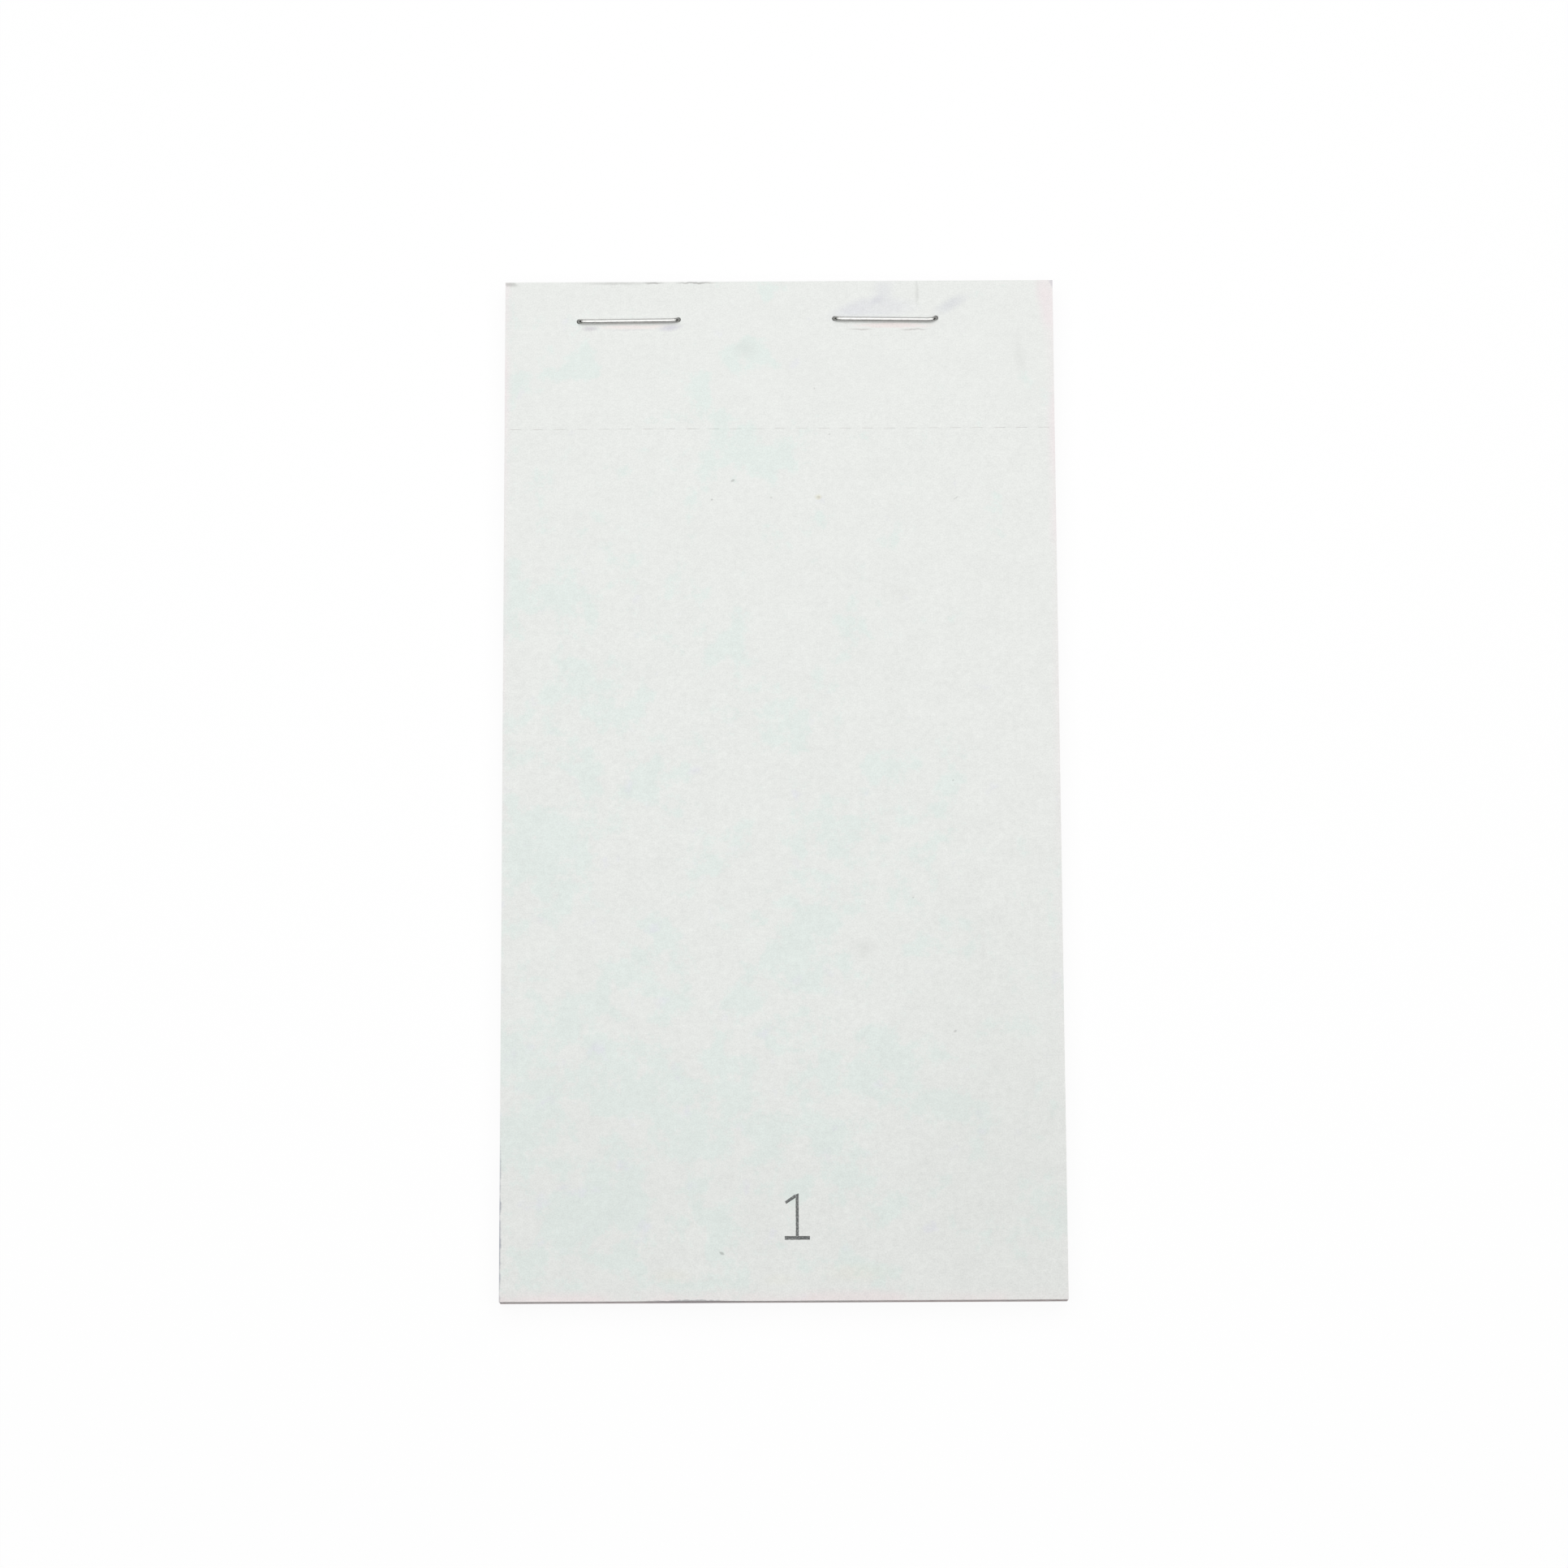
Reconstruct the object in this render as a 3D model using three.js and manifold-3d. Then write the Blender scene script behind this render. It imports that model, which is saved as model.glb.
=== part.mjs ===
// Order pad: numbered sets of thin paper, a white top copy over a pink duplicate in each set,
// stacked on a grey board and bound near the top edge by two wire staples. A perforation below
// the staples lets each slip fold over the bound end or tear off, and leaves its stub behind.
//
// Millimetres, +Z up. The pad lies on its back with its reading face up, its bound end towards
// +Y and its width along X. The origin is the middle of its footprint, on the surface under it.

import * as THREE from "three";
import { mergeVertices } from "three/addons/utils/BufferGeometryUtils.js";
import Module from "manifold-3d";

// Trimmed size of the pad, which the guillotine gives to every leaf and to the board
const PAD_WIDTH = 75;
const PAD_LENGTH = 139.3;

// Paper and board
const SET_COUNT = 25;
const PAPER_THICKNESS = 0.052;
const AIR_BETWEEN_LEAVES = 0.01;
const BOARD_THICKNESS = 0.4;

// Perforation: a row of short slits with uncut ties between them
const PERFORATION_FROM_TOP = 20.8;
const PERFORATION_PITCH = 3;
const SLIT_LENGTH = 1.8;
const SLIT_WIDTH = 0.12;
const TIE_GAP = 0.02; // between a slip's half of each tie and its stub's half

// Staples: the wire that they are bent from, and how it is clinched
const WIRE_DIAMETER = 0.6;
const BEND_RADIUS = 0.5; // of the wire's centre line
const CLINCH_RUN = 4.2; // straight length of a leg's end, folded inwards under the board
const CLINCH_SINK = 0.15; // how far a clinched leg is pressed into the board
const TIP_ANGLE = 35; // degrees between a leg and the slanting cut that sharpens its tip
const TIP_LAND = 0.08; // what the cut leaves of the wire's square end
const CROWN_GAP = 0.02; // between the crown and the top leaf
const LEG_CLEARANCE = 0.2; // between a leg and the edge of its hole
const GROOVE_CLEARANCE = 0.1; // between a clinched leg and the groove that it pressed

// How far each staple's middle stands from its side of the pad and from the top edge, the
// outside length of its crown, its turn in degrees, and how far its crown leans over from its
// legs towards the bottom of the pad
const LEFT_STAPLE_FROM_SIDE = 16.9;
const LEFT_STAPLE_FROM_TOP = 5.65;
const LEFT_CROWN_LENGTH = 14.3;
const LEFT_STAPLE_TURN = 0.5;
const LEFT_CROWN_LEAN = 0.1;
const RIGHT_STAPLE_FROM_SIDE = 23;
const RIGHT_STAPLE_FROM_TOP = 5.55;
const RIGHT_CROWN_LENGTH = 14.6;
const RIGHT_STAPLE_TURN = -0.6;
const RIGHT_CROWN_LEAN = 0.2;

// Facets
const WIRE_SIDES = 12;
const BEND_STEPS = 5;
const ROUND_HOLE_SIDES = 8;
const SQUARE_HOLE_SIDES = 4;
const GROOVE_END_STEPS = 4;

// Places worked out from the sizes above
const topEdge = PAD_LENGTH / 2;
const bottomEdge = -PAD_LENGTH / 2;
const rightEdge = PAD_WIDTH / 2;
const leftEdge = -PAD_WIDTH / 2;
const perforationY = topEdge - PERFORATION_FROM_TOP;

// Heights, from the surface under the pad up to the top of the stack. The pad stands on its
// clinched legs, so the board starts above them by what they are not sunk in.
const wireRadius = WIRE_DIAMETER / 2;
const boardBottom = WIRE_DIAMETER - CLINCH_SINK;
const boardTop = boardBottom + BOARD_THICKNESS;
const leafPitch = PAPER_THICKNESS + AIR_BETWEEN_LEAVES;
const leafCount = 2 * SET_COUNT;
const stackTop = boardTop + leafCount * leafPitch;
const clinchZ = wireRadius;
const crownZ = stackTop + CROWN_GAP + wireRadius;

const staples = [
  {
    name: "staple_left",
    x: leftEdge + LEFT_STAPLE_FROM_SIDE,
    y: topEdge - LEFT_STAPLE_FROM_TOP,
    legX: LEFT_CROWN_LENGTH / 2 - wireRadius,
    turn: THREE.MathUtils.degToRad(LEFT_STAPLE_TURN),
    lean: LEFT_CROWN_LEAN,
  },
  {
    name: "staple_right",
    x: rightEdge - RIGHT_STAPLE_FROM_SIDE,
    y: topEdge - RIGHT_STAPLE_FROM_TOP,
    legX: RIGHT_CROWN_LENGTH / 2 - wireRadius,
    turn: THREE.MathUtils.degToRad(RIGHT_STAPLE_TURN),
    lean: RIGHT_CROWN_LEAN,
  },
];

const topCopyPaper = new THREE.MeshStandardMaterial({
  color: "#e7eae7",
  roughness: 0.85,
  metalness: 0,
});
const duplicatePaper = new THREE.MeshStandardMaterial({
  color: "#efd6d6",
  roughness: 0.85,
  metalness: 0,
});
const greyBoard = new THREE.MeshStandardMaterial({
  color: "#a19b92",
  roughness: 0.92,
  metalness: 0,
});
const brightWire = new THREE.MeshStandardMaterial({
  color: "#c9cac8",
  roughness: 0.28,
  metalness: 1,
});

const wasm = await Module();
wasm.setup();

// A named mesh at a height
function pieceAt(name, geometry, material, z) {
  const mesh = new THREE.Mesh(geometry, material);
  mesh.name = name;
  mesh.position.z = z;
  return mesh;
}

// A closed three.js geometry as a solid that can be cut
function solidFrom(geometry) {
  const bare = geometry.clone();
  bare.deleteAttribute("normal");
  bare.deleteAttribute("uv");
  const merged = mergeVertices(bare);
  return new wasm.Manifold(
    new wasm.Mesh({
      numProp: 3,
      vertProperties: merged.getAttribute("position").array,
      triVerts: new Uint32Array(merged.index.array),
    }),
  );
}

// A cut solid as a three.js geometry
function geometryFrom(solid) {
  const { vertProperties, triVerts, numProp } = solid.getMesh();
  const positions = new Float32Array((vertProperties.length / numProp) * 3);
  for (let i = 0; i < positions.length / 3; i += 1) {
    for (let j = 0; j < 3; j += 1) positions[3 * i + j] = vertProperties[numProp * i + j];
  }
  const geometry = new THREE.BufferGeometry();
  geometry.setAttribute("position", new THREE.BufferAttribute(positions, 3));
  geometry.setIndex(Array.from(triVerts));
  geometry.computeVertexNormals();
  return geometry;
}

// A flat sheet of one thickness, standing on z = 0
function sheet(outline, thickness) {
  return new THREE.ExtrudeGeometry(outline, { depth: thickness, bevelEnabled: false });
}

// A regular outline: how far its corners stand from its centre, and where the first one is
function roundOutline(centre, reach, sides, start) {
  return Array.from({ length: sides }, (_, i) => {
    const angle = start + (i * 2 * Math.PI) / sides;
    const arm = new THREE.Vector2(reach * Math.cos(angle), reach * Math.sin(angle));
    return arm.add(centre);
  });
}

// Where a point of a staple's own frame lies on the pad, seen from above
function onPad(staple, x, y) {
  const middle = new THREE.Vector2(staple.x, staple.y);
  return new THREE.Vector2(x, y).rotateAround(new THREE.Vector2(), staple.turn).add(middle);
}

// The four holes that the legs pierce, through every leaf and the board
function legHoles(sides) {
  const reach = (wireRadius + LEG_CLEARANCE) / Math.cos(Math.PI / sides);
  return staples.flatMap((staple) =>
    [-1, 1].map((side) => {
      const centre = onPad(staple, side * staple.legX, staple.lean);
      return new THREE.Path(roundOutline(centre, reach, sides, Math.PI / sides));
    }),
  );
}

// Where each slit of the perforation starts and ends along X
function slitSpans() {
  const count = Math.floor(PAD_WIDTH / PERFORATION_PITCH);
  return Array.from({ length: count }, (_, i) => {
    const centre = (i + 0.5 - count / 2) * PERFORATION_PITCH;
    return [centre - SLIT_LENGTH / 2, centre + SLIT_LENGTH / 2];
  });
}

// Blades that cut the slits through an unbroken leaf, standing past both of its faces
function slitBlades() {
  const low = perforationY - SLIT_WIDTH / 2;
  const high = perforationY + SLIT_WIDTH / 2;
  const slits = slitSpans().map(([start, end]) => rectangle(start, low, end, high));
  const blades = slits.map((corners) => new THREE.Shape(corners));
  return sheet(blades, 3 * PAPER_THICKNESS).translate(0, 0, -PAPER_THICKNESS);
}

// The edge that a slip (side -1) or its stub (side 1) has along the perforation, from left to
// right: half of each tie reaches the fold line, and the half slits stand back from it
function combEdge(side) {
  const tieY = perforationY + (side * TIE_GAP) / 2;
  const slitY = perforationY + (side * SLIT_WIDTH) / 2;
  const teeth = slitSpans().flatMap(([start, end]) => [
    new THREE.Vector2(start, tieY),
    new THREE.Vector2(start, slitY),
    new THREE.Vector2(end, slitY),
    new THREE.Vector2(end, tieY),
  ]);
  return [new THREE.Vector2(leftEdge, tieY), ...teeth, new THREE.Vector2(rightEdge, tieY)];
}

// The corners of a rectangle, anticlockwise
function rectangle(left, low, right, high) {
  return [
    new THREE.Vector2(left, low),
    new THREE.Vector2(right, low),
    new THREE.Vector2(right, high),
    new THREE.Vector2(left, high),
  ];
}

// The full trimmed outline, pierced by the staple legs
function padOutline(holeSides) {
  const outline = new THREE.Shape(rectangle(leftEdge, bottomEdge, rightEdge, topEdge));
  outline.holes.push(...legHoles(holeSides));
  return outline;
}

// A leaf that lies deep in the pad, where nothing uncovers its perforation
function buriedLeaf() {
  return sheet(padOutline(SQUARE_HOLE_SIDES), PAPER_THICKNESS);
}

// A leaf that shows its whole perforation once the set over it is torn off
function perforatedLeaf() {
  return geometryFrom(solidFrom(buriedLeaf()).subtract(solidFrom(slitBlades())));
}

// The written part of a leaf, below the perforation
function slip() {
  const edge = combEdge(-1).reverse();
  const bottom = [
    new THREE.Vector2(leftEdge, bottomEdge),
    new THREE.Vector2(rightEdge, bottomEdge),
  ];
  return sheet(new THREE.Shape([...bottom, ...edge]), PAPER_THICKNESS);
}

// The part of a leaf that stays under the staples, above the perforation
function stub() {
  const top = [new THREE.Vector2(rightEdge, topEdge), new THREE.Vector2(leftEdge, topEdge)];
  const outline = new THREE.Shape([...combEdge(1), ...top]);
  outline.holes.push(...legHoles(ROUND_HOLE_SIDES));
  return sheet(outline, PAPER_THICKNESS);
}

// The groove that one clinched leg (side -1 left, 1 right) has pressed into the board's back:
// a slot with round ends, from the leg's hole to just past the leg's tip
function clinchGroove(staple, side) {
  const reach = wireRadius + GROOVE_CLEARANCE;
  const outer = staple.legX;
  const inner = staple.legX - BEND_RADIUS - CLINCH_RUN;
  const end = (x, start) =>
    Array.from({ length: GROOVE_END_STEPS + 1 }, (_, i) => {
      const angle = start + (i * Math.PI) / GROOVE_END_STEPS;
      return onPad(
        staple,
        side * (x + reach * Math.cos(angle)),
        staple.lean + reach * Math.sin(angle),
      );
    });
  const slot = new THREE.Shape([...end(outer, -Math.PI / 2), ...end(inner, Math.PI / 2)]);
  const depth = CLINCH_SINK + GROOVE_CLEARANCE;
  const below = WIRE_DIAMETER;
  return sheet(slot, depth + below).translate(0, 0, -below);
}

// The grey board under the stack, with the grooves of the four clinched legs in its back
function backingBoard() {
  let board = solidFrom(sheet(padOutline(ROUND_HOLE_SIDES), BOARD_THICKNESS));
  for (const staple of staples) {
    for (const side of [-1, 1]) {
      board = board.subtract(solidFrom(clinchGroove(staple, side)));
    }
  }
  return geometryFrom(board);
}

// The centre line of a bent wire through given stations. Its parameter passes the stations
// evenly, so that a straight run takes one step and a bend takes as many as it was given.
class WireLine extends THREE.Curve {
  constructor(stations) {
    super();
    this.stations = stations;
  }

  getUtoTmapping(u) {
    return u;
  }

  getPoint(t, target = new THREE.Vector3()) {
    const place = t * (this.stations.length - 1);
    const i = Math.min(Math.floor(place), this.stations.length - 2);
    return target.lerpVectors(this.stations[i], this.stations[i + 1], place - i);
  }
}

// Half of a staple's centre line, from the right end of its crown to its right leg's tip. The
// shoulder turns down and back at once, so the crown lies nearer the bottom of the pad.
function rightHalf(staple) {
  const turnX = staple.legX - BEND_RADIUS;
  const angles = Array.from(
    { length: BEND_STEPS + 1 },
    (_, i) => (i * Math.PI) / 2 / BEND_STEPS,
  );
  const shoulder = angles.map((angle) => {
    const x = turnX + BEND_RADIUS * Math.sin(angle);
    const z = crownZ - BEND_RADIUS + BEND_RADIUS * Math.cos(angle);
    return new THREE.Vector3(x, staple.lean * Math.sin(angle) ** 2, z);
  });
  const clinch = angles.map((angle) => {
    const x = turnX + BEND_RADIUS * Math.cos(angle);
    const z = clinchZ + BEND_RADIUS - BEND_RADIUS * Math.sin(angle);
    return new THREE.Vector3(x, staple.lean, z);
  });
  const tip = new THREE.Vector3(turnX - CLINCH_RUN, staple.lean, clinchZ);
  return [...shoulder, ...clinch, tip];
}

// The waste that a slanting cut takes off one leg's tip (side -1 left, 1 right), as a wedge
// under the wire: the point that is left lies against the board
function tipWaste(staple, side) {
  const tipX = staple.legX - BEND_RADIUS - CLINCH_RUN;
  const pointZ = WIRE_DIAMETER - TIP_LAND;
  const past = WIRE_DIAMETER; // how far the wedge stands past the wire
  const run = (pointZ + past) / Math.tan(THREE.MathUtils.degToRad(TIP_ANGLE));
  const profile = [
    new THREE.Vector2(side * (tipX - past), pointZ),
    new THREE.Vector2(side * tipX, pointZ),
    new THREE.Vector2(side * (tipX + run), -past),
    new THREE.Vector2(side * (tipX - past), -past),
  ];
  const wedge = sheet(new THREE.Shape(profile), 2 * past).rotateX(Math.PI / 2);
  return wedge.translate(0, staple.lean + past, 0);
}

// One staple: crown, two shoulders, two legs and two clinched ends, in one bent wire
function stapleWire(staple) {
  const half = rightHalf(staple);
  const mirrored = half.map((p) => new THREE.Vector3(-p.x, p.y, p.z)).reverse();
  const stations = [...mirrored, ...half];
  const section = new THREE.Shape(
    roundOutline(new THREE.Vector2(), wireRadius, WIRE_SIDES, 0),
  );
  const wire = new THREE.ExtrudeGeometry(section, {
    steps: stations.length - 1,
    extrudePath: new WireLine(stations),
  });
  const sharpened = solidFrom(wire)
    .subtract(solidFrom(tipWaste(staple, -1)))
    .subtract(solidFrom(tipWaste(staple, 1)));
  const mesh = pieceAt(staple.name, geometryFrom(sharpened), brightWire, 0);
  mesh.position.set(staple.x, staple.y, 0);
  mesh.rotation.z = staple.turn;
  return mesh;
}

// The underside of a leaf, counted from the top of the stack
function leafBottom(index) {
  return stackTop - index * leafPitch - PAPER_THICKNESS;
}

// The top set, which opens: each of its two leaves is a slip and the stub that it tears from
function openingSet() {
  const set = new THREE.Group();
  set.add(
    pieceAt("set_01_top_copy_slip", slip(), topCopyPaper, leafBottom(0)),
    pieceAt("set_01_top_copy_stub", stub(), topCopyPaper, leafBottom(0)),
    pieceAt("set_01_duplicate_slip", slip(), duplicatePaper, leafBottom(1)),
    pieceAt("set_01_duplicate_stub", stub(), duplicatePaper, leafBottom(1)),
  );
  return set;
}

// A set further down: the second one can be uncovered, and shows its perforation
function lowerSet(number) {
  const label = `set_${String(number).padStart(2, "0")}`;
  const first = 2 * (number - 1);
  const topCopy = number === 2 ? perforatedLeaf() : buriedLeaf();
  const set = new THREE.Group();
  set.add(
    pieceAt(`${label}_top_copy`, topCopy, topCopyPaper, leafBottom(first)),
    pieceAt(`${label}_duplicate`, buriedLeaf(), duplicatePaper, leafBottom(first + 1)),
  );
  return set;
}

const binding = new THREE.Group();
binding.add(pieceAt("backing_board", backingBoard(), greyBoard, boardBottom));
binding.add(...staples.map(stapleWire));

const stack = new THREE.Group();
stack.add(openingSet());
for (let number = 2; number <= SET_COUNT; number += 1) stack.add(lowerSet(number));

const orderPad = new THREE.Group();
orderPad.add(binding, stack);

export default orderPad;
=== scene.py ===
"""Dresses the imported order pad: paper leaves, printed figures, wire staples, board and studio.

Sizes are in millimetres until a mesh is made, +Y towards the bound end of the pad, +Z up.
"""

import logging
import math
from dataclasses import dataclass
from enum import Enum
from functools import cached_property
from typing import Callable, Optional, Sequence, Union

import bpy
import numpy as np
from mathutils import Matrix, Vector


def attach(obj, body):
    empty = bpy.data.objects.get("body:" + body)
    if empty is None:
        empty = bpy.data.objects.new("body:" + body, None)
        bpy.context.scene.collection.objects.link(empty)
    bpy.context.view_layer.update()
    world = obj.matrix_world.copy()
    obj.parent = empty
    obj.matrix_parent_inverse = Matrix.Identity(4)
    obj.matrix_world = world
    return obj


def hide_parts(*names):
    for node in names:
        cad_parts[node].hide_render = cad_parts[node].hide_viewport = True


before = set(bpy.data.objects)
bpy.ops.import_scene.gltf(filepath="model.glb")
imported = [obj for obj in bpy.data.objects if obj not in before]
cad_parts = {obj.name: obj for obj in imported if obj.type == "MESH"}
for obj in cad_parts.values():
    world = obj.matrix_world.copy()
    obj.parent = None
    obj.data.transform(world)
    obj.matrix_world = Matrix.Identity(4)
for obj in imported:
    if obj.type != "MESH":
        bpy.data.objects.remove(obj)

log = logging.getLogger("order_pad")

Array = np.ndarray
Material = bpy.types.Material
Object = bpy.types.Object
Stroke = tuple[Array, Array]

WIRE_MAP = "along_and_round"  # the wire's map, in millimetres along it and round it
MM = 0.001  # metres in a millimetre
ENDLESS = 1e4  # half size of a flat pattern along the axis on which it stays the same
WAVER = 0.5  # how far, at most, the outlines of marks are moved up each axis


class Body(Enum):
    """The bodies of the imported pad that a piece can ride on."""

    PAD = "pad"
    DUPLICATE = "duplicate_copy"
    TOP_COPY = "top_copy"


class Stock(Enum):
    """What a piece is made of, by the record's name for it."""

    TOP_COPY = "top_copy_paper"
    DUPLICATE = "duplicate_paper"
    WIRE = "staple_wire"


# Values and arithmetic shared by the pieces


@dataclass(frozen=True)
class PadSizes:
    """Sizes of the whole pad, the same as its solids have.

    A buried leaf is drawn a little thicker, pressed, so that less air shows between the edges.
    """

    half_width: float = 37.5
    half_length: float = 69.65
    sets: int = 25
    board_top: float = 0.85
    paper: float = 0.052
    pressed: float = 0.058
    pitch: float = 0.062
    perforation: float = 48.85
    slit_pitch: float = 3.0
    slit_length: float = 1.5
    slit_width: float = 0.025
    tie_gap: float = 0.002

    def leaf_bottom(self, index: int) -> float:
        """Height of the underside of a leaf counted from the top one, which is 0."""
        return self.board_top + 2 * self.sets * self.pitch - index * self.pitch - self.paper

    def leaf_top(self, index: int) -> float:
        """Height of the upper face of a leaf counted in the same way."""
        return self.leaf_bottom(index) + self.paper

    def across(self, count: int) -> Array:
        """Evenly spaced lines from the left edge to the right one."""
        return np.linspace(-self.half_width, self.half_width, count)


PAD = PadSizes()


def linear(code: str) -> tuple[float, float, float, float]:
    """Opaque linear colour that the nodes use for six hexadecimal digits, by the sRGB curve."""
    v = np.array([int(code[i : i + 2], 16) for i in (0, 2, 4)]) / 255
    return (*np.where(v <= 0.04045, v / 12.92, ((v + 0.055) / 1.055) ** 2.4).tolist(), 1.0)


def smooth(values: Array, low: float, high: float) -> Array:
    """Eases from 0 at low to 1 at high along 3t^2 - 2t^3, and stays level outside."""
    t = np.clip((values - low) / (high - low), 0.0, 1.0)
    return t * t * (3 - 2 * t)


def rows(*columns: Union[Array, float]) -> Array:
    """Sets columns side by side. A single number fills its column."""
    return np.stack(np.broadcast_arrays(*columns), 1)


def middles(lines: Array) -> Array:
    """Places halfway between neighbouring lines."""
    return (lines[1:] + lines[:-1]) / 2


def lengths(points: Array) -> Array:
    """Distance of each point from the first one, along the line through them all."""
    steps = np.linalg.norm(np.diff(points, axis=0), axis=1)
    return np.concatenate([[0], np.cumsum(steps)])


def units(vectors: Array) -> Array:
    """The same directions, each of length 1."""
    return vectors / np.linalg.norm(vectors, axis=1)[:, None]


# Meshes


def mesh_object(
    name: str,
    points: Array,
    quads: Array,
    finishes: Sequence[Material],
    kinds: Optional[Array] = None,
    uv: Optional[Array] = None,
    rounded: bool = False,
) -> Object:
    """Makes an object at the origin from whole arrays.

    Args:
        name: the piece's name.
        points: corners in millimetres, one row each.
        quads: corner numbers, four a face, anticlockwise seen from outside.
        finishes: materials in the order that kinds counts them.
        kinds: which finish each face has.
        uv: two numbers for each corner of each face.
        rounded: whether faces are shaded as one smooth surface.

    Returns:
        The linked object.
    """
    used, renumbered = np.unique(quads, return_inverse=True)
    points, quads = points[used] * MM, renumbered.reshape(quads.shape)
    mesh = bpy.data.meshes.new(name)
    mesh.vertices.add(len(points))
    mesh.vertices.foreach_set("co", points.astype(np.float32).ravel())
    mesh.loops.add(quads.size)
    mesh.loops.foreach_set("vertex_index", quads.astype(np.int32).ravel())
    mesh.polygons.add(len(quads))
    mesh.polygons.foreach_set("loop_start", np.arange(len(quads), dtype=np.int32) * 4)
    if kinds is not None:
        mesh.polygons.foreach_set("material_index", kinds.astype(np.int32))
    mesh.polygons.foreach_set("use_smooth", np.full(len(quads), rounded))
    if uv is not None:
        layer = mesh.uv_layers.new(name=WIRE_MAP)
        layer.data.foreach_set("uv", uv.astype(np.float32).ravel())
    mesh.update(calc_edges=True)
    mesh.validate()
    for finish in finishes:
        mesh.materials.append(finish)
    made = bpy.data.objects.new(name, mesh)
    bpy.context.scene.collection.objects.link(made)
    return made


def plate(
    name: str,
    x: Array,
    y: Array,
    bottom: Array,
    top: Array,
    finishes: Sequence[Material],
    kept: Optional[Array] = None,
) -> Object:
    """Makes a closed thin plate over a grid of lines, with a wall round each opening.

    The faces are P(i, j) = (x, y, top) above and (x, y, bottom) below. Wherever a kept cell
    borders one that isn't kept, or the outside, a wall joins the two faces.

    Args:
        name: the piece's name.
        x: grid of across values, one row for each line along.
        y: grid of along values.
        bottom: grid of underside heights.
        top: grid of upper heights.
        finishes: the finish of the faces, and then that of the cut walls.
        kept: which cells are paper. All of them if it is left out.

    Returns:
        The linked object.
    """
    under = x.size
    number = np.arange(under).reshape(x.shape)
    if kept is None:
        kept = np.ones(number[1:, 1:].shape, bool)
    a, b = number[:-1, :-1][kept], number[:-1, 1:][kept]
    c, d = number[1:, 1:][kept], number[1:, :-1][kept]
    faces = [rows(a, b, c, d), rows(d, c, b, a) + under]
    flat = 2 * len(a)
    padded = np.pad(kept, 1)
    along = padded[1:, 1:-1].astype(int) - padded[:-1, 1:-1]
    across = padded[1:-1, 1:].astype(int) - padded[1:-1, :-1]
    for steps, start, end in (
        (along, number[:, :-1], number[:, 1:]),
        (-across, number[:-1, :], number[1:, :]),
    ):
        for sign, first, last in ((1, start, end), (-1, end, start)):
            p, q = first[steps == sign], last[steps == sign]
            faces.append(rows(p + under, q + under, q, p))
    quads = np.concatenate(faces)
    kinds = (np.arange(len(quads)) >= flat).astype(int) * (len(finishes) - 1)
    points = [rows(x.ravel(), y.ravel(), height.ravel()) for height in (top, bottom)]
    return mesh_object(name, np.concatenate(points), quads, finishes, kinds)


def place(piece: Object, body: Body, stock: Stock, *nodes: str) -> None:
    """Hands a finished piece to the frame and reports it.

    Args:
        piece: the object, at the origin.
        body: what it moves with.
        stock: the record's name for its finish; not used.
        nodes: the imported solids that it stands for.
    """
    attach(piece, body.value)
    if nodes:
        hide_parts(*nodes)
    log.info("%s: %d faces, on %s", piece.name, len(piece.data.polygons), body.value)


# Shader arithmetic

Operand = Union["Value", float]
Paint = Union["Value", str]


def operator(operation: str, order: int = 1) -> Callable[["Value", Operand], "Value"]:
    """Makes a method that adds one Math node. An order of -1 puts the other operand first."""
    settings = {"operation": operation}
    return lambda a, b: a.shader.node("Math", settings, dict(enumerate((a, b)[::order])))


@dataclass
class Value:
    """One output of a node, with arithmetic that adds Math nodes to its shader."""

    shader: "Shader"
    socket: bpy.types.NodeSocket

    __add__, __radd__ = operator("ADD"), operator("ADD", -1)
    __sub__, __rsub__ = operator("SUBTRACT"), operator("SUBTRACT", -1)
    __mul__, __rmul__ = operator("MULTIPLY"), operator("MULTIPLY", -1)
    most = operator("MAXIMUM")

    def between(self, low: float, high: float) -> "Value":
        """Stretches 0 to 1 into low to high."""
        return self * (high - low) + low

    def eased(self, low: float, high: float, start: float = 0, end: float = 1) -> "Value":
        """Eases from start at low to end at high, and stays level outside."""
        inputs = dict(enumerate((self, low, high, start, end)))
        return self.shader.node("MapRange", {"interpolation_type": "SMOOTHSTEP"}, inputs)


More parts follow.
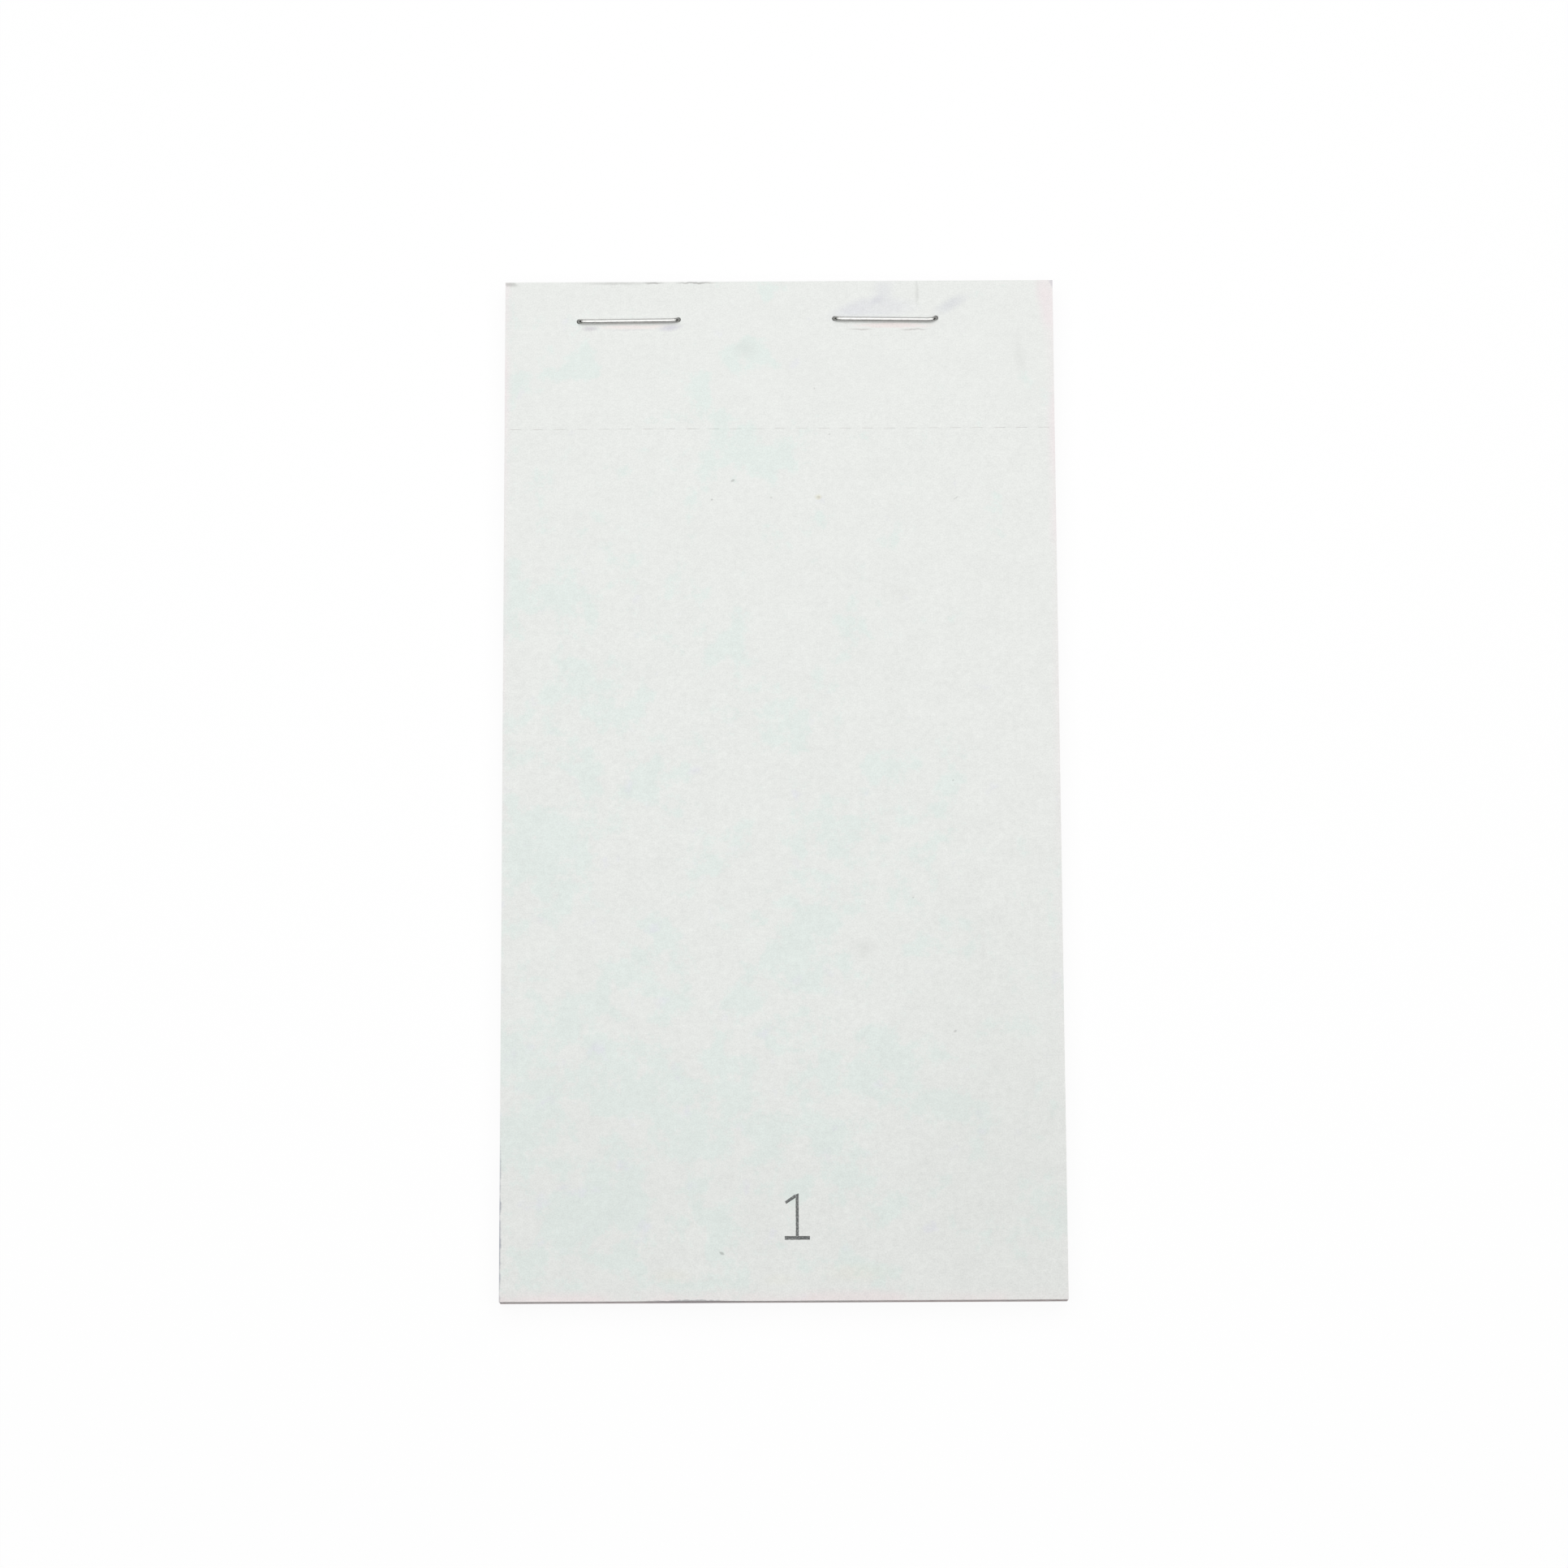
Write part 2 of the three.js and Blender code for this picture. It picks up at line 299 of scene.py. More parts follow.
class Shader:
    """A material or world whose nodes are added one call at a time."""

    def __init__(self, name: str, owner: Optional[bpy.types.ID] = None) -> None:
        """Empties the node tree of a new material, or of the owner given.

        Args:
            name: the new material's name.
            owner: a world that is used instead.
        """
        self.owner = owner or bpy.data.materials.new(name)
        self.owner.use_nodes = True
        self.tree = self.owner.node_tree
        self.tree.nodes.clear()

    def node(
        self,
        kind: str,
        settings: Optional[dict] = None,
        inputs: Optional[dict] = None,
        output: int = 0,
    ) -> Value:
        """Adds any node.

        Args:
            kind: the node's type without its first part, ShaderNode.
            settings: its own properties, set first.
            inputs: values, written colours or links of its sockets, by name or number.
            output: which output is returned.

        Returns:
            That output.
        """
        made = self.tree.nodes.new("ShaderNode" + kind)
        for key, value in (settings or {}).items():
            setattr(made, key, value)
        for key, value in (inputs or {}).items():
            if isinstance(value, Value):
                self.tree.links.new(value.socket, made.inputs[key])
            else:
                made.inputs[key].default_value = linear(value) if isinstance(value, str) else value
        outputs = made.outputs
        return Value(self, outputs[output] if len(outputs) else made.inputs[0])

    def outputs(self, kind: str, *names: Union[int, str], **inputs: Value) -> list[Value]:
        """Several outputs of one node, by name or number."""
        made = self.node(kind, inputs=inputs).socket.node
        return [Value(self, made.outputs[name]) for name in names]

    def axes(self) -> list[Value]:
        """The place's parts across and along."""
        return self.outputs("SeparateXYZ", 0, 1, Vector=self.spot)

    def vector_math(self, operation: str, inputs: dict, output: int = 0) -> Value:
        """Adds one Vector Math node."""
        return self.node("VectorMath", {"operation": operation}, inputs, output)

    @cached_property
    def spot(self) -> Value:
        """The place, as object coordinates in millimetres."""
        place_in = self.outputs("TexCoord", "Object")[0]
        return self.vector_math("SCALE", {0: place_in, 3: 1 / MM})

    def mapped(
        self,
        sizes: Sequence[float],
        centre: Sequence[float] = (0, 0, 0),
        turn: float = 0.0,
        at: Optional[Value] = None,
    ) -> Value:
        """The spot, or the place given, as a pattern with that centre, turn and units has it."""
        inputs = {0: at or self.spot, 1: centre, 2: (0, 0, math.radians(turn)), 3: sizes}
        return self.node("Mapping", {"vector_type": "TEXTURE"}, inputs)

    def away(
        self,
        centre: Sequence[float],
        halves: Sequence[float],
        turn: float = 0.0,
        at: Optional[Value] = None,
    ) -> Value:
        """Distance from the centre of an oval with the half axes given, 1 on its outline."""
        near = self.mapped((*halves, ENDLESS), (*centre, 0), turn, at)
        return self.vector_math("LENGTH", {0: near}, output=1)

    def noise(
        self,
        size: float = 1.0,
        detail: float = 2,
        at: Optional[Value] = None,
        colour: bool = False,
        broken: float = 0.5,
    ) -> Value:
        """Clouds about as wide as size, from 0 to 1, as one value or as three in a colour."""
        layers = {"Detail": detail, "Roughness": broken, "Scale": 1 / size}
        return self.node("TexNoise", {}, {"Vector": at or self.spot, **layers}, int(colour))

    def loosened(self) -> Value:
        """The place shifted by up to WAVER along each axis, so that outlines waver."""
        wander = self.vector_math("SCALE", {0: self.noise(1.1, colour=True), 3: WAVER})
        return self.vector_math("ADD", {0: self.spot, 1: wander})

    def mix(self, factor: Operand, first: Paint, second: Paint, how: str = "MIX") -> Value:
        """Mixes two colours, the second by the share that factor gives."""
        settings = {"data_type": "RGBA", "blend_type": how}
        return self.node("Mix", settings, {0: factor, 6: first, 7: second}, output=2)

    def surface(
        self, colour: Value, roughness: Value, relief: Value, depth: float, **fixed: float
    ) -> Material:
        """Ends the material in one shaded surface.

        Args:
            colour: its base colour.
            roughness: its roughness.
            relief: heights from 0 to 1 that bend its normal.
            depth: how far, in millimetres, a height of 1 stands over 0.
            fixed: other sockets that stay the same all over, with _ for a space.

        Returns:
            The material.
        """
        bump = {"Strength": 1.0, "Distance": depth * MM, "Height": relief}
        inputs = {"Base Color": colour, "Roughness": roughness}
        inputs["Normal"] = self.node("Bump", inputs=bump)
        inputs.update({key.replace("_", " "): value for key, value in fixed.items()})
        shaded = self.node("BsdfPrincipled", inputs=inputs)
        self.node("OutputMaterial", inputs={0: shaded})
        return self.owner


# Finishes


@dataclass(frozen=True)
class Mark:
    """A soft oval stain, speck, pressed mark or patch of painted shade on a sheet.

    x and y are its centre, long and short its half axes, turn its slant in degrees, strength
    its share of the colour at the middle, and edge how much of its reach fades out.
    """

    x: float
    y: float
    long: float
    short: float
    colour: str
    strength: float
    turn: float = 0.0
    edge: float = 0.9

    def laid(self, shader: Shader, spot: Value, colour: Value) -> Value:
        """Lays the mark over a colour.

        Args:
            shader: the material that it belongs to.
            spot: the place, loosened so that the oval is uneven, which moves it half of WAVER.
            colour: what it lies on.

        Returns:
            The colour with the mark.
        """
        centre = self.x + WAVER / 2, self.y + WAVER / 2
        reach = shader.away(centre, (self.long, self.short), self.turn, spot)
        return shader.mix(reach.eased(1, 1 - self.edge, 0, self.strength), colour, self.colour)


@dataclass(frozen=True)
class PaperFinish:
    """Thin uncoated paper: a plain colour, cloudy fibres, faint tinted patches, and marks,
    some of them painted shade.

    The four weights are the shares of the grain's layers, the coarsest first. The two coarse
    ones fade to upper_share of themselves towards the top edge, and low_end_shade, a painted
    shade, is added to the brightness of the lower end.
    """

    name: str
    colour: str
    patch: str
    tinge: str = "e4e5ec"
    rim: Optional[str] = None
    side_rim: str = "f0e6e8"
    patch_share: float = 0.5
    tinge_share: float = 0.6
    rim_share: float = 0.7
    grain: float = 0.16
    broad_weight: float = 0.16
    cloud_weight: float = 0.3
    fibre_weight: float = 0.12
    fleck_weight: float = 0.42
    upper_share: float = 0.7
    low_end_shade: float = -0.02
    marks: tuple[Mark, ...] = ()

    def material(self) -> Material:
        """Builds the sheet's material.

        Returns:
            A material in which colour and relief vary over the sheet.
        """
        shader = Shader(self.name)
        y = shader.axes()[1]
        broad = shader.noise(2.6, 1)
        clouds = shader.noise(0.8)
        fibres = shader.noise(at=shader.mapped((0.9, 0.3, 1)))
        flecks = shader.noise(0.2, 1)
        coarse = clouds * self.cloud_weight + broad * self.broad_weight
        coarse = coarse - (self.cloud_weight + self.broad_weight) / 2
        coarse = coarse * y.eased(5, 50, 1, self.upper_share)
        tone = coarse + flecks * self.fleck_weight + fibres * self.fibre_weight
        tone = (tone - (self.fleck_weight + self.fibre_weight) / 2) * self.grain
        colour = self._patches(shader)
        if self.rim:
            colour = self._rim(shader, colour)
        if self.marks:
            loose = shader.loosened()
            for mark in self.marks:
                colour = mark.laid(shader, loose, colour)
        # Painted shade: low_end_shade darkens the lower end, where less light falls.
        bright = tone + y.eased(-28, -60) * self.low_end_shade + 1.0
        scale = shader.node("CombineColor", inputs={0: bright, 1: bright, 2: bright})
        colour = shader.mix(1.0, colour, scale, "MULTIPLY")
        relief = clouds * 0.6 + fibres * 0.4
        roughness = clouds.between(0.8, 0.9)
        return shader.surface(colour, roughness, relief, 0.012, Specular_IOR_Level=0.3)

    def _patches(self, shader: Shader) -> Value:
        """Spreads faint tinted patches, fuller towards the left and low down.

        Args:
            shader: the sheet's material.

        Returns:
            The paper's colour with the patches and a fainter tinge.
        """
        x, y = shader.axes()
        drift = x * -0.0013 + y * -0.0012 + y.eased(-50, -68) * -0.05
        broad = shader.noise(7, 5, broken=0.66) + drift
        for centre, halves, push in FULLER_PATCHES:
            broad = broad + shader.away(centre, halves).eased(1.1, 0.2, 0, push)
        share = broad.eased(0.52, 0.62) * self.patch_share
        colour = shader.mix(share, self.colour, self.patch)
        tinge = shader.noise(4, 4, shader.mapped((1, 1, 1), (31, 7, 0), 20)) + drift * 0.6
        return shader.mix(tinge.eased(0.64, 0.78) * self.tinge_share, colour, self.tinge)

    def _rim(self, shader: Shader, colour: Value) -> Value:
        """Tints a narrow, uneven band along the two sides and the bottom edge.

        Args:
            shader: the sheet's material.
            colour: what the band lies on.

        Returns:
            The colour with the band, which is wider at the top right corner.
        """
        x, y = shader.axes()
        uneven = shader.noise(7, 3) * 3.2
        widen = y.eased(56, 70) * x.eased(20, 37) * 1.7
        high = y.eased(-30, 60, 0.15, 0.75) * shader.noise(11).eased(0.4, 0.58, 0.4, 1)
        right = (x * -1 + PAD.half_width - uneven * 0.35 - widen).eased(0.9, -0.9)
        left = (x + PAD.half_width - uneven * 0.3).eased(0.7, -0.9)
        low = (y + PAD.half_length - uneven * 0.7).eased(0.9, -0.9)
        low = low * shader.noise(9).eased(0.3, 0.6, 0.3, 1) * self.rim_share
        colour = shader.mix(right.most(left) * high, colour, self.side_rim)
        return shader.mix(low, colour, self.rim)


@dataclass(frozen=True)
class CutEdgeFinish:
    """The guillotined edge of a leaf: its own paper, streaked along the cut and greyed, partly by
    dust and partly by painted shade between the leaves.
    """

    name: str
    colour: str
    dust_and_shade: str
    streak: tuple[float, float, float] = (1.6, 1.6, 0.05)

    def material(self) -> Material:
        """Builds the edge's material.

        Returns:
            A material streaked along the cut.
        """
        shader = Shader(self.name)
        streaks = shader.noise(1, 3, shader.mapped(self.streak))
        soot = shader.noise(6, 4).eased(0.5, 0.75)
        # The streaks and soot patches mix in dust_and_shade: dust and painted shade in one colour.
        share = streaks.eased(0.35, 0.75) * 0.5 + soot * 0.35
        colour = shader.mix(share, self.colour, self.dust_and_shade)
        for mark in EDGE_MARKS_AND_SHADE:
            colour = mark.laid(shader, shader.spot, colour)
        roughness = streaks.between(0.86, 0.96)
        return shader.surface(colour, roughness, streaks, 0.01, Specular_IOR_Level=0.2)


@dataclass(frozen=True)
class BoardFinish:
    """Grey chipboard: coarse pulp with pale and dark flecks, short fibres and scuffed spots."""

    name: str = "grey_chipboard"
    colour: str = "a39d94"
    pale: str = "c9c4ba"
    dark: str = "6f6a63"
    scuff: str = "b9b3a9"

    def material(self) -> Material:
        """Builds the board's material.

        Returns:
            A flecked, slightly rough material.
        """
        shader = Shader(self.name)
        pulp = shader.noise(1.4, 5)
        colour = shader.mix(pulp.eased(0.3, 0.7) * 0.5, self.colour, self.pale)
        for size, turn, code, low in (
            ((0.9, 0.12, 0.2), 25, self.dark, 0.66),
            ((1.1, 0.1, 0.2), -50, self.dark, 0.68),
            ((1.3, 0.12, 0.2), 80, self.pale, 0.64),
        ):
            fleck = shader.noise(1, 1, shader.mapped(size, (turn, 0, 0), turn))
            colour = shader.mix(fleck.eased(low, low + 0.1) * 0.7, colour, code)
        worn = shader.noise(16, 4).eased(0.52, 0.7)
        colour = shader.mix(worn * 0.35, colour, self.scuff)
        relief = pulp * 0.7 + shader.noise(0.3) * 0.3
        roughness = pulp.between(0.84, 0.92)
        return shader.surface(colour, roughness, relief, 0.04, Specular_IOR_Level=0.25)


@dataclass(frozen=True)
class WireFinish:
    """Bright galvanised wire, with fine draw lines, a dulled film, and painted shade over the
    bends.
    """

    name: str = "bright_staple_wire"
    colour: str = "b7b7b5"
    dull: str = "9b9a97"
    dull_share: float = 0.4
    bend_shade: str = "838380"
    bend_shade_share: float = 0.85
    bend_shade_reach: float = 0.63
    draw_line: tuple[float, float, float] = (3.0, 0.06, 1)
    film_spot: tuple[float, float, float] = (0.7, 0.5, 1)

    def material(self) -> Material:
        """Builds the wire's material from its map of length along and place round.

        Returns:
            A metal whose polish varies along and round the wire.
        """
        shader = Shader(self.name)
        along = shader.node("UVMap", {"uv_map": WIRE_MAP})
        lines = shader.noise(at=shader.mapped(self.draw_line, at=along))
        film = shader.noise(1, 3, shader.mapped(self.film_spot, (3, 1, 0), at=along))
        colour = shader.mix(film.eased(0.45, 0.75) * self.dull_share, self.colour, self.dull)
        # Painted shade: the wire is darkened within bend_shade_reach of each leg hole, over the
        # bends, legs and clinches.
        for centre in leg_holes():
            away = shader.away(centre, [self.bend_shade_reach] * 2)
            share = away.eased(1.0, 0.68, 0, self.bend_shade_share)
            colour = shader.mix(share, colour, self.bend_shade)
        roughness = lines * 0.08 + film * 0.1 + 0.1
        return shader.surface(colour, roughness, lines, 0.004, Metallic=1.0)


@dataclass(frozen=True)
class InkFinish:
    """Printed grey ink that sank unevenly into the paper."""

    name: str = "numbering_ink"
    colour: str = "5d5f5e"
    thin: str = "8f9190"

    def material(self) -> Material:
        """Builds the ink's material.

        Returns:
            A dull material with thin patches.
        """
        shader = Shader(self.name)
        worn = shader.noise(0.22, 3)
        colour = shader.mix(worn.eased(0.45, 0.68), self.colour, self.thin)
        return shader.surface(colour, worn.between(0.7, 0.8), worn, 0.004, Specular_IOR_Level=0.3)


# Marks on the cut edges: painted shade along a stretch of the bottom edge and along the lower
# left edge, and a grimy stretch on top
EDGE_MARKS_AND_SHADE = (
    # Painted shade: a dark stretch of the bottom edge, left of the middle, under the slip's raised
    # lip
    Mark(-12.2, -69.9, 8.0, 1.6, "6a6f80", 0.5, 0, 0.7),
    # Painted shade: a dark bluish stretch of the lower left edge
    Mark(-37.7, -60.0, 1.2, 17.0, "7b8090", 0.45, 0, 0.7),
    Mark(-15.0, 69.4, 8.0, 1.2, "8b8a87", 0.4, 0, 0.7),
)

# Where the tinted patches run together: centre, half axes, and how much fuller they are
FULLER_PATCHES = (
    ((-1.6, 46.5), (10, 8), 0.11),
    ((-4.5, 59.3), (6, 4.5), 0.27),
    ((-11.4, 53.6), (3, 4.5), 0.2),
    ((-26.6, 57.2), (4, 3.6), 0.15),
)

# Marks on the top copy: bands pressed by the staples and smears beside them, smudges and
# scuffs along the top edge, painted shade along the lower left edge, near the right edge, low
# on the right and along the bottom edge under the raised lip, soft stains, yellowed spots low
# down, and specks
TOP_MARKS_AND_SHADE = (
    Mark(-19.9, 63.29, 6.4, 0.44, "f1e2df", 0.5, 0.5, 0.7),
    Mark(-25.85, 63.05, 1.5, 0.5, "c9c5cb", 0.6),
    Mark(-14.95, 63.15, 2.2, 0.7, "c6c4d2", 0.55, 8),
    Mark(-20.16, 62.85, 4.6, 0.16, "d5d1d4", 0.4, 0.6),
    Mark(15.4, 63.35, 7.0, 0.5, "f1e0de", 0.55, -0.5, 0.7),
    Mark(11.2, 62.78, 2.4, 0.15, "b9b4b2", 0.75, -0.6),
    Mark(18.5, 62.76, 2.6, 0.15, "b9b4b2", 0.75, -0.6),
    Mark(10.4, 65.75, 5.0, 1.6, "dcdde2", 0.6, 18),
    Mark(15.2, 66.15, 5.4, 1.8, "dddee2", 0.52, -8),
    Mark(14.3, 68.15, 2.0, 2.6, "dddee2", 0.5, -10),
    Mark(13.4, 66.95, 1.4, 0.8, "d3d4da", 0.4, 35),
    Mark(12.4, 65.15, 5.6, 0.9, "dddee3", 0.5, -1),
    Mark(23.4, 66.25, 3.6, 1.25, "d6d8dc", 0.6, 28),
    Mark(18.9, 67.95, 0.42, 2.7, "cdcfcb", 0.42),
    Mark(-17.2, 69.5, 1.9, 0.22, "a8a7a5", 0.75),
    Mark(-11.4, 69.5, 3.6, 0.22, "a8a7a5", 0.75),
    Mark(-22.4, 69.47, 6.5, 0.4, "c9cac7", 0.6),
    Mark(-36.81, 69.38, 1.5, 0.5, "b2b1ae", 0.6, -12),
    # Painted shade: a dark bluish line along the lower left edge
    Mark(-37.55, -60.5, 0.34, 17.0, "868b9c", 0.75),
    # Painted shade: a faint, soft upright band near the right edge
    Mark(32.8, 59.05, 1.2, 5.2, "d6d8d5", 0.26, 6),
    # Painted shade: a broad, faint darkening over the lower right
    Mark(30.0, -44.0, 20.0, 44.0, "dcdfdb", 0.2),
    Mark(-4.79, 60.04, 2.6, 2.0, "d5d9d6", 0.33),
    Mark(16.1, 25.58, 2.2, 1.8, "dadbd6", 0.15),
    Mark(11.23, -22.7, 2.0, 2.0, "d2d4d0", 0.22),
    Mark(37.4, 69.3, 0.4, 0.8, "cdcad0", 0.6, 0, 0.6),
    # Painted shade: a dark line along the bottom edge, left of the middle, under the raised lip
    Mark(-12.4, -69.66, 7.6, 0.2, "7f8286", 0.6, 0, 0.7),
    Mark(-14.8, -66.3, 3.6, 1.4, "e6e5d3", 0.2),
    Mark(-0.6, -66.9, 3.0, 1.2, "e6e5d3", 0.15),
    Mark(9.6, -66.0, 6.4, 1.9, "e6e5d3", 0.2),
    Mark(-6.38, 41.53, 0.3, 0.27, "4c4a47", 0.3, 0, 0.5),
    Mark(-9.25, 38.93, 0.2, 0.2, "6a6865", 0.35, 0, 0.6),
    Mark(5.19, 39.21, 0.62, 0.55, "d9d3ae", 0.35),
    Mark(5.19, 39.21, 0.26, 0.24, "6b5a38", 0.16, 0, 0.5),
    Mark(6.79, 48.02, 0.22, 0.18, "7b7975", 0.22, 30, 0.6),
    Mark(4.83, 54.5, 0.18, 0.18, "7b7975", 0.22, 0, 0.6),
    Mark(-8.14, -63.42, 0.48, 0.24, "8c8b88", 0.5, -20, 0.6),
    Mark(23.07, -0.03, 0.18, 0.18, "83817e", 0.27, 0, 0.6),
    Mark(17.59, -16.02, 0.24, 0.2, "7f7d7a", 0.29, 0, 0.6),
    Mark(22.93, -34.01, 0.3, 0.24, "7b7976", 0.32, 20, 0.6),
    Mark(-1.20, 39.12, 0.34, 0.2, "b3b3af", 0.38, 10),
    Mark(23.93, 39.02, 0.6, 0.16, "b6b8b3", 0.45, 25),
)

TOP_SHEET = PaperFinish(
    "numbered_top_copy", "eaece9", "dfece7", rim="f2e7e7", grain=0.42, marks=TOP_MARKS_AND_SHADE
)
WHITE_LEAF = PaperFinish("white_leaf", "eaece9", "e3ece8")
PINK_LEAF = PaperFinish("pink_leaf", "f1d9d9", "ecd2d4")
# The edges' second colours are partly dust and partly painted shade between the leaves.
WHITE_EDGE = CutEdgeFinish("white_leaf_edge", "e6e8e6", "c5c5c3")
PINK_EDGE = CutEdgeFinish("pink_leaf_edge", "dedbdb", "bebbbb")


class Finishes:
    """Every finish, made once. A leaf has two, for its faces and for its cut edges."""

    def __init__(self) -> None:
        """Builds the materials."""
        white_edge, pink_edge = WHITE_EDGE.material(), PINK_EDGE.material()
        self.top_sheet = [TOP_SHEET.material(), white_edge]
        self.white = [WHITE_LEAF.material(), white_edge]
        self.pink = [PINK_LEAF.material(), pink_edge]
        self.board = BoardFinish().material()
        self.wire = WireFinish().material()
        self.ink = InkFinish().material()


# Staples


@dataclass
class Staple:
    """One wire staple: a level crown, two rounded bends, and legs clinched under the board.

    The crown's middle is at x, y. It is turned by turn degrees, and each leg's top stands behind
    the crown's line by its own lean, of which the crown's end takes sag_share. The upper bends
    reach further along the crown than down, and both legs end in one line, groove, behind the
    crown's. The section is a superellipse of the power given, no wider than widest times the
    radius, and the crown is flattened a little.
    """

    name: str
    node: str
    x: float
    y: float
    crown: float
    turn: float
    lean_left: float
    lean_right: float
    groove: float
    radius: float = 0.298
    leg_inset: float = 0.3
    crown_inset: float = 0.4
    bend: float = 0.5
    shoulder: float = 0.6
    sag_reach: float = 0.6
    sag_share: float = 0.3
    clinch: float = 4.2
    crown_height: float = 4.27
    clinch_height: float = 0.3
    highest: float = 4.565
    tip_angle: float = 35.0
    tip_top: float = 0.52
    sides: int = 28
    power: float = 2.3
    widest: float = 1.015
    flattened: float = 0.05

    @property
    def leg(self) -> float:
        """Distance of a leg's centre line from the staple's middle."""
        return self.crown / 2 - self.leg_inset

    def on_pad(self, along: Array, behind: Array) -> tuple[Array, Array]:
        """Turns a place in the staple's own measure into one on the pad."""
        c, s = math.cos(math.radians(self.turn)), math.sin(math.radians(self.turn))
        return self.x + c * along - s * behind, self.y + s * along + c * behind

    def holes(self) -> list[tuple[float, float]]:
        """Centres of the two leg holes on the pad."""
        ends = (-self.leg, self.lean_left), (self.leg, self.lean_right)
        return [self.on_pad(along, behind) for along, behind in ends]

    def _half(self, lean: float) -> Array:
        """Centre line from the crown's middle out, down a leg and in to its tip.

        The crown sags a little behind its line near its end e, to s. Then come a quarter of an
        ellipse P = (e + w sin a, s + (lean - s) sin^2 a, z - r + r cos a), a leg that eases over
        to the groove, a round quarter turn, and a straight clinched end.

        Args:
            lean: how far the leg's top stands behind the crown's line.

        Returns:
            The points of the line, closer together in the bends and the tip.
        """
        turn_x = self.leg - self.bend
        crown_end = self.leg - self.shoulder
        high, low = self.crown_height - self.bend, self.clinch_height + self.bend
        a = np.linspace(0, math.pi / 2, 19)
        x = np.linspace(0, crown_end, 40)
        sag = smooth(x, crown_end - self.sag_reach, crown_end + self.sag_reach)
        sag = lean * sag * self.sag_share
        behind = sag[-1] + (lean - sag[-1]) * np.sin(a) ** 2
        drop = np.linspace(high, low, 8)[1:-1]
        back = lean + (self.groove - lean) * smooth(-drop, -high, -low)
        coarse = np.linspace(0, self.clinch - 0.8, 12)[1:]
        fine = np.linspace(self.clinch - 0.75, self.clinch, 16)
        return np.concatenate(
            [
                rows(x, sag, self.crown_height)[:-1],
                rows(crown_end + self.shoulder * np.sin(a), behind, high + self.bend * np.cos(a)),
                rows(self.leg, back, drop),
                rows(turn_x + self.bend * np.cos(a), self.groove, low - self.bend * np.sin(a)),
                rows(turn_x - np.concatenate([coarse, fine]), self.groove, self.clinch_height),
            ]
        )

    def _section(self, line: Array) -> Array:
        """Rings round the centre line, P = C + A r cos a + B f r sin a.

        A lies level across the line and B square to both. The radius r follows
        r = R (|cos a|^p + |sin a|^p)^(-1/p), and f is below 1 over the crown. The two tips are
        cut along a slope, and no point goes above the crown's or below the board's own limit.

        Args:
            line: the centre line.

        Returns:
            One row of points for each point of the line.
        """
        tangent = units(np.gradient(line, axis=0))
        across = units(np.array([0.0, 1.0, 0.0]) - tangent * tangent[:, 1:2])
        outward = np.cross(tangent, across)
        a = np.arange(self.sides) * 2 * math.pi / self.sides
        power = self.power
        reach = (np.abs(np.cos(a)) ** power + np.abs(np.sin(a)) ** power) ** (-1 / power)
        reach = np.minimum(self.radius * reach, self.radius * self.widest)
        level = np.abs(line[:, 0]) < self.leg - self.crown_inset
        on_crown = level * (line[:, 2] > self.crown_height / 2)
        flat = 1 - self.flattened * on_crown
        ring = (
            line[:, None]
            + across[:, None] * (reach * np.cos(a))[None, :, None]
            + outward[:, None] * (flat[:, None] * (reach * np.sin(a))[None])[:, :, None]
        )
        tip = self.leg - self.bend - self.clinch
        low = self.tip_top - (np.abs(ring[..., 0]) - tip) * math.tan(math.radians(self.tip_angle))
        clinched = (line[:, 2] < self.clinch_height + 0.05)[:, None]
        ring[..., 2] = np.where((ring[..., 2] < low) & clinched, low, ring[..., 2])
        ring[..., 2] = np.clip(ring[..., 2], 0.0, self.highest)
        return ring

    def build(self, finish: Material) -> None:
        """Carries a slightly squared round section along the centre line.

        Args:
            finish: the wire's material.
        """
        left = self._half(self.lean_left)[::-1] * (-1, 1, 1)
        line = np.concatenate([left, self._half(self.lean_right)[1:]])
        ring = self._section(line)
        points = np.concatenate([ring.reshape(-1, 3), ring[[0, -1]].mean(1)])
        points[:, 0], points[:, 1] = self.on_pad(points[:, 0].copy(), points[:, 1].copy())
        count, sides = len(line), self.sides
        i, j = (grid.ravel() for grid in np.indices((count - 1, sides)))
        k, number = (j + 1) % sides, i * sides
        quads = rows(number + j, number + k, number + sides + k, number + sides + j)
        length = lengths(line)
        u = rows(length[i], length[i], length[i + 1], length[i + 1])
        v = rows(j, j + 1, j + 1, j) * (2 * math.pi * self.radius / sides)
        uv = np.stack([u, v], -1).reshape(-1, 8)
        fan, middle, last = np.arange(0, sides, 2), count * sides, (count - 1) * sides
        wrapped = (fan + 2) % sides
        caps = np.concatenate(
            [
                rows(middle, wrapped, fan + 1, fan),
                rows(middle + 1, last + fan, last + fan + 1, last + wrapped),
            ]
        )
        quads = np.concatenate([quads, caps])
        uv = np.concatenate([uv, np.zeros((len(caps), 8))])
        piece = mesh_object(self.name, points, quads, [finish], uv=uv, rounded=True)
        place(piece, Body.PAD, Stock.WIRE, self.node)


STAPLES = (
    Staple("wire_staple_left", "staple_left", -20.59, 64.023, 14.18, 0.4, 0.095, 0.22, 0.16),
    Staple("wire_staple_right", "staple_right", 14.518, 64.12, 14.465, -0.78, 0.13, 0.346, 0.23),
)


def leg_holes() -> list[tuple[float, float]]:
    """Centres of the staples' four leg holes."""
    return [centre for staple in STAPLES for centre in staple.holes()]


# Leaves


def grid_lines(*parts: Union[Array, Sequence[float]]) -> Array:
    """Sorted lines of a grid, each kept once."""
    return np.unique(np.round(np.concatenate([np.ravel(p) for p in parts]), 4))


